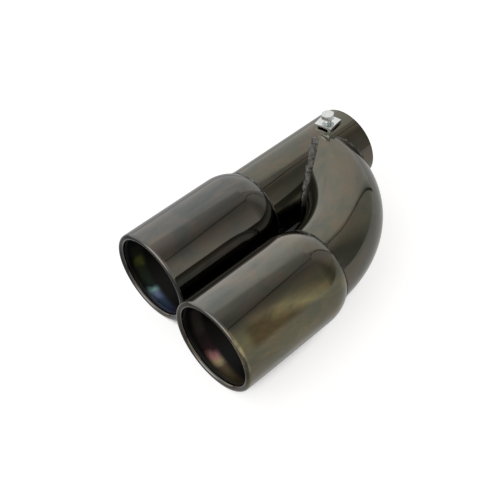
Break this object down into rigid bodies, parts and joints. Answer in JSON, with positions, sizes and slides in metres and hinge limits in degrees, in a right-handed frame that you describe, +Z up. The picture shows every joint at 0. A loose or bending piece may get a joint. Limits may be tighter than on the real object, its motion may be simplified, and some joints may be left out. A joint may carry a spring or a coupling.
{
  "type": "exhaust tip",
  "caption": "Exhaust tip with a straight pipe and a welded bent branch, each ending in a sleeve with a rolled lip, held on a tailpipe by a clamp bolt.",
  "frame": {"origin": "centre of the inlet mouth, on the inlet pipe's axis", "axes": "+Y out of the inlet mouth, so the outlets face -Y; +X towards the branch; +Z up, on the clamp bolt's side"},
  "size_m": [0.161, 0.2335, 0.0804],
  "materials": {
    "black_chrome": "smoky black chrome, mirror bright",
    "weld": "rippled weld bead under the same dark plating",
    "zinc": "bright zinc plate"
  },
  "bodies": {
    "tip": {"inlet_pipe": "black_chrome", "branch_elbow": "black_chrome", "left_outlet_sleeve": "black_chrome", "right_outlet_sleeve": "black_chrome", "branch_weld": "weld", "left_sleeve_weld": "weld", "right_sleeve_weld": "weld", "clamp_nut": "zinc"},
    "bolt": {"clamp_bolt": "zinc"}
  },
  "joints": [
    {"name": "clamp_bolt_travel", "type": "slide", "parent": "tip", "child": "bolt", "axis": [0, 0, -1], "range_m": [0, 0.003]}
  ]
}
